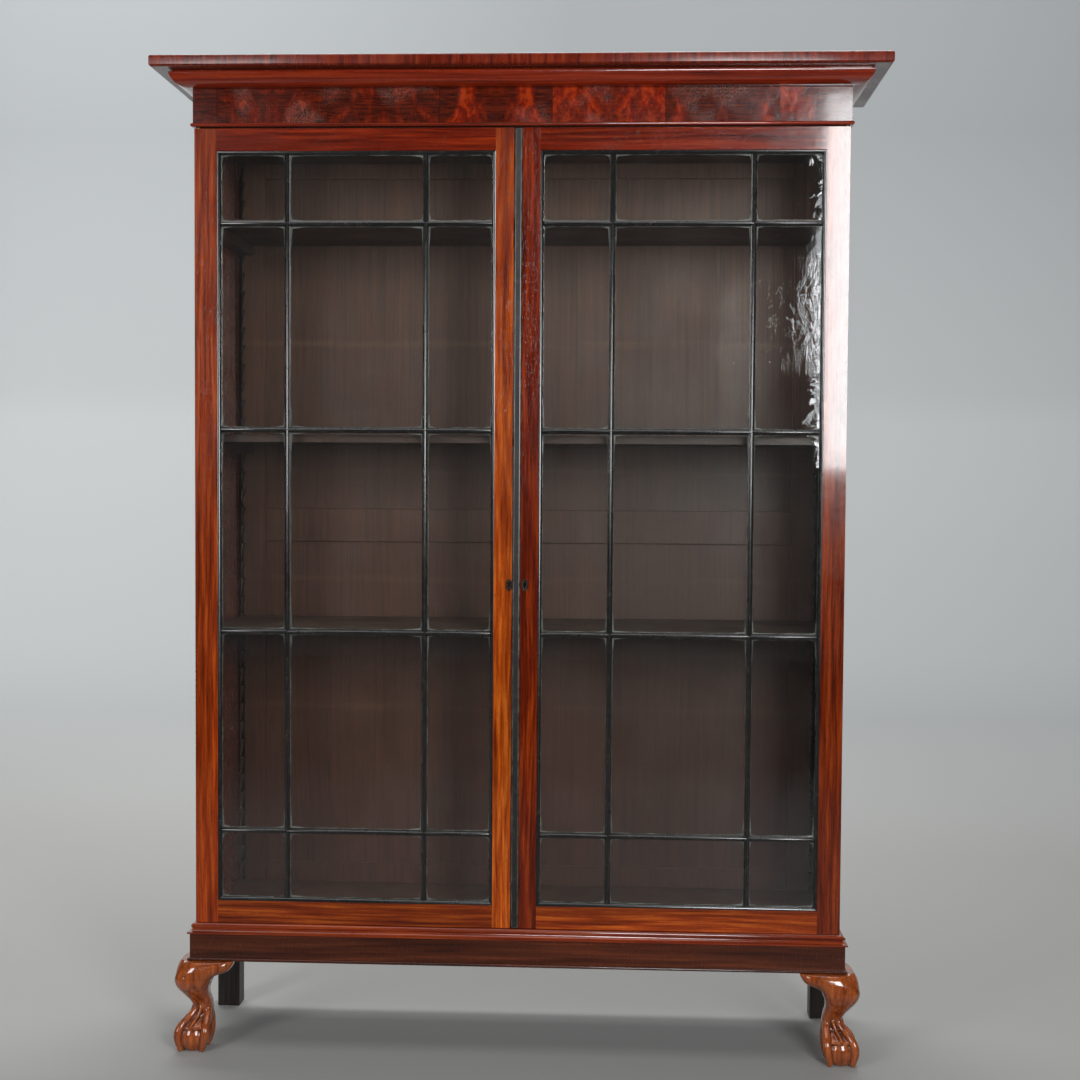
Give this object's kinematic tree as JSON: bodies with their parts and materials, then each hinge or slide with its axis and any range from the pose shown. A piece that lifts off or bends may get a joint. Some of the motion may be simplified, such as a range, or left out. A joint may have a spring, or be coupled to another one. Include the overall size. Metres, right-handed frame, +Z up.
{
  "type": "glazed bookcase",
  "caption": "Tall glazed bookcase on claw-and-ball cabriole legs: barred glass doors, moulded cornice, sawtooth racks and lift-out adjustable shelves.",
  "frame": {"origin": "middle of the footprint, on the floor", "axes": "+Z up, +X to the right as seen from the front, +Y towards the back"},
  "size_m": [1.4, 0.396, 1.926],
  "materials": {
    "old_glass": "clear old window glass, slightly rippled",
    "dark_iron": "darkened iron, worn at the edges",
    "bright_steel": "dull steel",
    "brass": "old brass, dull",
    "ebonised_wood": "ebonised, satin",
    "flame_veneer": "flame figured mahogany veneer, french polished",
    "red_mahogany": "mahogany, french polished",
    "dark_mahogany": "dark mahogany, french polished",
    "carved_mahogany": "carved mahogany, french polished",
    "stained_hardwood": "hardwood, stained dark",
    "figured_mahogany": "figured mahogany, french polished",
    "inside_timber": "old mahogany, dry waxed"
  },
  "bodies": {
    "case": {"back_frame": "inside_timber", "back_panels": "inside_timber", "base_moulding": "dark_mahogany", "carcass_bottom": "inside_timber", "carcass_top": "inside_timber", "corner_blocks": "inside_timber", "cornice_board": "red_mahogany", "cornice_moulding": "red_mahogany", "frieze": "flame_veneer", "frieze_bead": "red_mahogany", "hinge_case_plates": "brass", "hinge_case_screws": "bright_steel", "leg_back_left": "stained_hardwood", "leg_back_right": "stained_hardwood", "leg_brackets": "carved_mahogany", "leg_front_left": "carved_mahogany", "leg_front_right": "carved_mahogany", "plinth": "dark_mahogany", "plinth_bead": "dark_mahogany", "shelf_racks": "inside_timber", "side_left": "figured_mahogany", "side_right": "figured_mahogany"},
    "door_left": {"bolt_barrels": "dark_iron", "left_cross_bars": "ebonised_wood", "left_escutcheon": "dark_iron", "left_hinge_plates": "brass", "left_hinge_screws": "bright_steel", "left_hinge_stile": "figured_mahogany", "left_meeting_stile": "figured_mahogany", "left_opening_bead": "ebonised_wood", "left_panes": "old_glass", "left_rails": "figured_mahogany", "left_upright_bars": "ebonised_wood"},
    "door_right": {"lock_case": "dark_iron", "meeting_strip": "ebonised_wood", "right_cross_bars": "ebonised_wood", "right_escutcheon": "dark_iron", "right_hinge_plates": "brass", "right_hinge_screws": "bright_steel", "right_hinge_stile": "figured_mahogany", "right_meeting_stile": "figured_mahogany", "right_opening_bead": "ebonised_wood", "right_panes": "old_glass", "right_rails": "figured_mahogany", "right_upright_bars": "ebonised_wood"},
    "lock_bolt": {"lock_bolt": "bright_steel"},
    "top_bolt": {"top_bolt": "bright_steel"},
    "bottom_bolt": {"bottom_bolt": "bright_steel"},
    "bearer_1_left": {"bearer_1_left": "inside_timber"},
    "bearer_1_right": {"bearer_1_right": "inside_timber"},
    "bearer_2_left": {"bearer_2_left": "inside_timber"},
    "bearer_2_right": {"bearer_2_right": "inside_timber"},
    "bearer_3_left": {"bearer_3_left": "inside_timber"},
    "bearer_3_right": {"bearer_3_right": "inside_timber"},
    "shelf_1": {"shelf_1": "inside_timber"},
    "shelf_2": {"shelf_2": "inside_timber"},
    "shelf_3": {"shelf_3": "inside_timber"}
  },
  "joints": [
    {"name": "left_door_hinge", "type": "hinge", "parent": "case", "child": "door_left", "pos_m": [-0.625, -0.117, 0.25], "axis": [0, 0, 1], "range_deg": [-165, 0]},
    {"name": "right_door_hinge", "type": "hinge", "parent": "case", "child": "door_right", "pos_m": [0.625, -0.117, 0.25], "axis": [0, 0, 1], "range_deg": [0, 165]},
    {"name": "lock_bolt_slide", "type": "slide", "parent": "door_right", "child": "lock_bolt", "axis": [-1, 0, 0], "range_m": [0, 0.008]},
    {"name": "top_bolt_slide", "type": "slide", "parent": "door_left", "child": "top_bolt", "axis": [0, 0, 1], "range_m": [0, 0.012]},
    {"name": "bottom_bolt_slide", "type": "slide", "parent": "door_left", "child": "bottom_bolt", "axis": [0, 0, -1], "range_m": [0, 0.012]},
    {"name": "shelf_1_lift", "type": "slide", "parent": "case", "child": "shelf_1", "axis": [0, 0, 1], "range_m": [0, 0.18]},
    {"name": "bearer_1_left_slide", "type": "slide", "parent": "case", "child": "bearer_1_left", "axis": [1, 0, 0], "range_m": [0, 0.014]},
    {"name": "bearer_1_right_slide", "type": "slide", "parent": "case", "child": "bearer_1_right", "axis": [-1, 0, 0], "range_m": [0, 0.014]},
    {"name": "shelf_2_lift", "type": "slide", "parent": "case", "child": "shelf_2", "axis": [0, 0, 1], "range_m": [0, 0.18]},
    {"name": "bearer_2_left_slide", "type": "slide", "parent": "case", "child": "bearer_2_left", "axis": [1, 0, 0], "range_m": [0, 0.014]},
    {"name": "bearer_2_right_slide", "type": "slide", "parent": "case", "child": "bearer_2_right", "axis": [-1, 0, 0], "range_m": [0, 0.014]},
    {"name": "shelf_3_lift", "type": "slide", "parent": "case", "child": "shelf_3", "axis": [0, 0, 1], "range_m": [0, 0.1]},
    {"name": "bearer_3_left_slide", "type": "slide", "parent": "case", "child": "bearer_3_left", "axis": [1, 0, 0], "range_m": [0, 0.014]},
    {"name": "bearer_3_right_slide", "type": "slide", "parent": "case", "child": "bearer_3_right", "axis": [-1, 0, 0], "range_m": [0, 0.014]}
  ]
}
